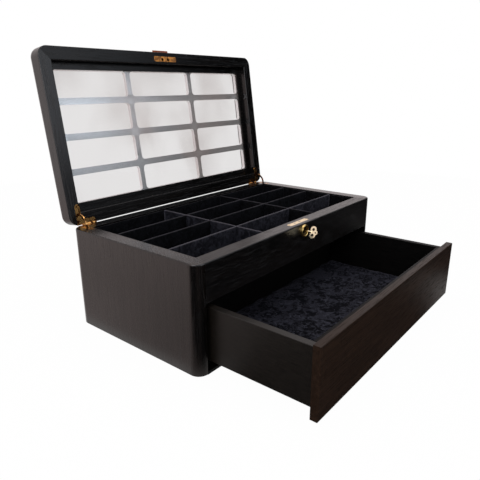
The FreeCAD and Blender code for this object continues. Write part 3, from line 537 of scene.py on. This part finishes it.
def compartment_floor():
    """The velvet floor, slightly full in each compartment and drawn in under the dividers."""
    low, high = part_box("compartment_pad")
    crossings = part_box("divider_cross_1"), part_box("divider_cross_2")
    columns = [(a.x + b.x) / 2 for a, b in crossings]
    rows = [(a.y + b.y) / 2 for a, b in (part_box(f"divider_long_{k}") for k in (1, 2, 3))]
    columns += [low.x, high.x]
    rows += [low.y, high.y]

    def fullness(value, lines):
        gap = min(abs(value - line) for line in lines)
        return 1.0 - math.exp(-gap / FLOOR_EASE)

    def top(x, y):
        crown = min(fullness(x, columns), fullness(y, rows))
        rise = FLOOR_WAVE * wave((x * 1.5, y * 1.5, 0.0), 2.0)
        return high.z - FLOOR_CROWN + FLOOR_CROWN * crown + rise

    piece = velvet_grid("velvet_compartment_floor", low, high, top, velvet_floor)
    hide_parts("compartment_pad")
    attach(piece, "carcass")
    return piece


PAD_MARGIN = 0.0028  # room that the pad swells into
PAD_DROP = 0.0046
PAD_CROWN = 0.0030
PAD_EASE = 0.009
PAD_WAVE = 0.0006
PAD_LUMPS = 0.0005
PAD_VOXEL = 0.005
PAD_CAP = 0.0035  # the furthest that the swelling may move the cloth
PAD_STEPS = 20
PAD_PRESSURE = 4.0
WALL_ROOM = 0.0003
TOP_ROOM = 0.001


def puff(piece):
    """Cloth with air in it, so that the pad swells as stuffed velvet does. Moves are capped."""
    shape = piece.modifiers.new("remesh", "REMESH")
    shape.mode = "VOXEL"
    shape.voxel_size = PAD_VOXEL
    applied(piece)
    before = [v.co.copy() for v in piece.data.vertices]
    cloth = piece.modifiers.new("cloth", "CLOTH")
    cloth.settings.use_pressure = True
    cloth.settings.uniform_pressure_force = PAD_PRESSURE
    cloth.settings.effector_weights.gravity = 0.0
    cloth.point_cache.frame_start = 1
    cloth.point_cache.frame_end = PAD_STEPS
    for step in range(1, PAD_STEPS + 1):
        bpy.context.scene.frame_set(step)
    applied(piece)
    bpy.context.scene.frame_set(1)
    for vertex, start in zip(piece.data.vertices, before):
        move = vertex.co - start
        if move.length > PAD_CAP:
            vertex.co = start + move * (PAD_CAP / move.length)


def applied(piece):
    """The piece's modifiers are worked into its mesh."""
    ready = piece.evaluated_get(bpy.context.evaluated_depsgraph_get())
    mesh = bpy.data.meshes.new_from_object(ready)
    piece.modifiers.clear()
    piece.data = mesh


def smoothed(piece):
    """The simulated mesh is shaded smooth and refined once."""
    for face in piece.data.polygons:
        face.use_smooth = True
    fine = piece.modifiers.new("fine", "SUBSURF")
    fine.levels = 1
    fine.render_levels = 1
    applied(piece)


def drawer_pad():
    """The crushed velvet pad in the drawer: thin, full to its edges, uneven on top."""
    low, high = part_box("drawer_pad")

    def top(x, y):
        edge = min(x - low.x, high.x - x, y - low.y, high.y - y)
        crown = 1.0 - math.exp(-max(edge, 0.0) / PAD_EASE)
        rise = PAD_WAVE * wave((x * 1.2, y * 1.2, 0.0), 5.0)
        return high.z - PAD_DROP + PAD_CROWN * crown + rise

    margin = Vector((PAD_MARGIN, PAD_MARGIN, 0.0))
    piece = velvet_grid(
        "crushed_velvet_drawer_pad", low + margin, high - margin, top, velvet_pad_painted_lit)
    puff(piece)
    settle(piece, low, high)
    smoothed(piece)
    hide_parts("drawer_pad")
    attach(piece, "drawer")
    return piece


def settle(piece, low, high):
    """The pad lies on the drawer's bottom and between its walls, and its top stays uneven."""
    for vertex in piece.data.vertices:
        at = vertex.co
        at.x = min(max(at.x, low.x + WALL_ROOM), high.x - WALL_ROOM)
        at.y = min(max(at.y, low.y + WALL_ROOM), high.y - WALL_ROOM)
        at.z = min(max(at.z, low.z), high.z + TOP_ROOM)
        if at.z > low.z + TOP_BAND:
            at.z += PAD_LUMPS * wave((at.x * 2.0, at.y * 2.0, 0.0), 9.0)


def velvet_pieces():
    for number, side in enumerate(("left", "right", "front", "back")):
        covered_board(f"velvet_lining_{side}", f"lining_{side}", 1.0 + number, velvet_lining)
    for kind, first_seed, covers in (
            ("long", 10.0, (velvet_painted_lit, velvet_lining, velvet_painted_shade)),
            ("cross", 20.0, (velvet_painted_lit, velvet_painted_shade))):
        for number, cover in enumerate(covers, 1):
            node = f"divider_{kind}_{number}"
            covered_board("velvet_" + node, node, first_seed + number, cover)
    compartment_floor()
    drawer_pad()


# Stage, light and camera

FLOOR_RADIUS = 1.7
FLOOR_AT = (0.0, -0.1, -0.0003)
SEEN_WHITE = 0.98  # the rest of the floor's look is matt and takes the shadow
DARK_FLOOR_FRONT = (-0.35, -0.94, 0.0)
DARK_FLOOR_RIGHT = (0.75, -0.66, 0.0)
DARK_SIDE = (0.940, -0.342, 0.0)

PICTURE_PIXELS = 480.0
FOCAL_PIXELS = 479.67
SENSOR = 36.0
NEAREST = 0.01
CAMERA_AT = Vector((-0.72225, -0.5927, 0.42023))
CAMERA_YAW = 0.88599
CAMERA_PITCH = -0.31128
CAMERA_ROLL = -0.00386


def sight(make):
    """1 where the camera, a gloss or a see-through pane looks at the surface."""
    return [make.node("ShaderNodeLightPath", output=name)
            for name in ("Is Camera Ray", "Is Glossy Ray", "Is Transmission Ray")]


def floor_paint():
    """Pale and matt, white to the eye.

    What mirrors the floor finds it painted dark in front and to the right. To the left
    it is painted a little warm, with a painted shadow close to the box and towards the front.
    """
    make = finish("pale_floor")
    camera, gloss, through = sight(make)
    spot = make.place()
    speck = make.grain(spot, 3.0, 2.0, 0.5)
    shade = make.blend(speck, rgba(0.88, 0.87, 0.865), rgba(0.91, 0.90, 0.895))
    matt = make.node("ShaderNodeBsdfDiffuse", None, {"Color": shade})
    white = make.node("ShaderNodeEmission", None, {"Color": WHITE, "Strength": 1.0})
    # Painted darkness, seen only in reflections: dark in front and to the right.
    light_left = 1 - make.limits(make.along(spot, DARK_FLOOR_FRONT), 0.10, 0.20)
    light_back = 1 - make.limits(make.along(spot, DARK_FLOOR_RIGHT), 0.38, 0.52)
    dark = 1 - light_left * light_back
    leftward, frontward = make.along(spot, TO_LEFT), make.along(spot, TO_FRONT)
    left = make.limits(leftward, 0.28, 0.31)
    near = make.limits(leftward, 0.42, 0.62, 0.22, 0.0)
    front = make.limits(frontward, -0.30, 0.0, 0.0, 0.18)
    beside = make.limits(frontward, 0.10, 0.22, 0.0, 0.6)
    # Painted reflection colour and painted shadow: warm to the left, darker close to the box and
    # towards the front.
    pale = make.blend(left, rgba(0.92, 0.90, 0.89), rgba(0.92, 0.80, 0.78))
    pale = make.blend(left * (near + front + beside), pale, BLACK)
    reflected_with_painted_shade = make.blend(dark, pale, rgba(0.03, 0.03, 0.032))
    in_gloss = make.node("ShaderNodeEmission", None, {"Color": reflected_with_painted_shade, "Strength": 1.0})
    seen = make.node("ShaderNodeMixShader", None, {
        0: camera * SEEN_WHITE + through * SEEN_WHITE, 1: matt, 2: white})
    return make.end(make.node("ShaderNodeMixShader", None, {0: gloss, 1: seen, 2: in_gloss}))


def floor():
    def build(shape):
        bmesh.ops.create_circle(shape, cap_ends=True, radius=FLOOR_RADIUS, segments=96)

    piece = new_piece("pale_floor", build, floor_paint(), smooth=False)
    piece.location = FLOOR_AT


def surroundings():
    """White all round for the eye and plain for the light that falls.

    In reflections it is dark to the right, brighter and bluer in front, and
    dim there near the ground.
    """
    world = bpy.data.worlds.new("white_room")
    bpy.context.scene.world = world
    make = Finish(world)
    camera, gloss, through = sight(make)
    way = make.node("ShaderNodeTexCoord", output="Generated")
    frontward = make.along(way, TO_FRONT)
    strength = make.limits(make.along(way, DARK_SIDE), 0.80, 0.90, 1.0, 0.0)
    low = make.limits(make.along(way, UPWARD), 0.04, 0.16, 1.0, 0.0)
    strength = strength * (1 - low * make.limits(frontward, 0.35, 0.65) * 0.85)
    strength = strength * (1 + make.limits(frontward, 0.50, 0.75) * 0.3)
    back = make.limits(make.along(way, TO_BACK), -0.6, 0.3)
    tone = make.blend(back, rgba(0.78, 0.89, 1.0), rgba(1.0, 0.92, 0.92))
    plain = make.node("ShaderNodeBackground", None, {"Color": WHITE, "Strength": 0.5})
    white = make.node("ShaderNodeBackground", None, {"Color": WHITE, "Strength": 1.0})
    mirror = make.node("ShaderNodeBackground", None, {"Color": tone, "Strength": strength})
    seen = make.node("ShaderNodeMixShader", None, {0: camera + through, 1: plain, 2: white})
    make.end(make.node("ShaderNodeMixShader", None, {0: gloss, 1: seen, 2: mirror}))


def lamp(name, at, towards, size, power, tint=(1.0, 1.0, 1.0)):
    light = bpy.data.lights.new(name, "AREA")
    light.shape = "RECTANGLE"
    light.size, light.size_y = size
    light.energy = power
    light.color = tint
    piece = bpy.data.objects.new(name, light)
    bpy.context.scene.collection.objects.link(piece)
    piece.matrix_world = facing(Vector(at), Vector(towards))


def facing(at, towards):
    turn = (towards - at).to_track_quat("-Z", "Y")
    return Matrix.Translation(at) @ turn.to_matrix().to_4x4()


def lights():
    lamp("window_left", at=(-1.9, -0.7, 1.3), towards=(0.0, 0.0, 0.15),
         size=(1.4, 1.2), power=20.0, tint=(0.96, 0.98, 1.0))
    lamp("ceiling", at=(0.1, 0.2, 2.3), towards=(0.0, 0.0, 0.1),
         size=(2.0, 1.6), power=16.0, tint=(1.0, 0.98, 0.96))
    lamp("soft_front", at=(0.2, -2.2, 1.0), towards=(0.0, 0.0, 0.2),
         size=(1.2, 1.0), power=7.0)


def camera():
    """The eye fitted to the photo: its place, turns and focal length."""
    level = Vector((math.cos(CAMERA_YAW), -math.sin(CAMERA_YAW), 0.0))
    ahead = Vector((math.sin(CAMERA_YAW) * math.cos(CAMERA_PITCH),
                    math.cos(CAMERA_YAW) * math.cos(CAMERA_PITCH), math.sin(CAMERA_PITCH)))
    upward = level.cross(ahead)
    right = math.cos(CAMERA_ROLL) * level + math.sin(CAMERA_ROLL) * upward
    top = math.cos(CAMERA_ROLL) * upward - math.sin(CAMERA_ROLL) * level
    lens = bpy.data.cameras.new("eye")
    lens.sensor_width = SENSOR
    lens.lens = FOCAL_PIXELS * SENSOR / PICTURE_PIXELS
    lens.clip_start = NEAREST
    piece = bpy.data.objects.new("eye", lens)
    bpy.context.scene.collection.objects.link(piece)
    turn = Matrix((right, top, -ahead)).transposed()
    piece.matrix_world = Matrix.Translation(CAMERA_AT) @ turn.to_4x4()
    bpy.context.scene.camera = piece


def plain(box):
    return [[round(float(c), 6) for c in corner] for corner in box]


dress_nodes()
velvet_pieces()
floor()
surroundings()
lights()
camera()
bpy.context.scene.view_settings.view_transform = "Standard"
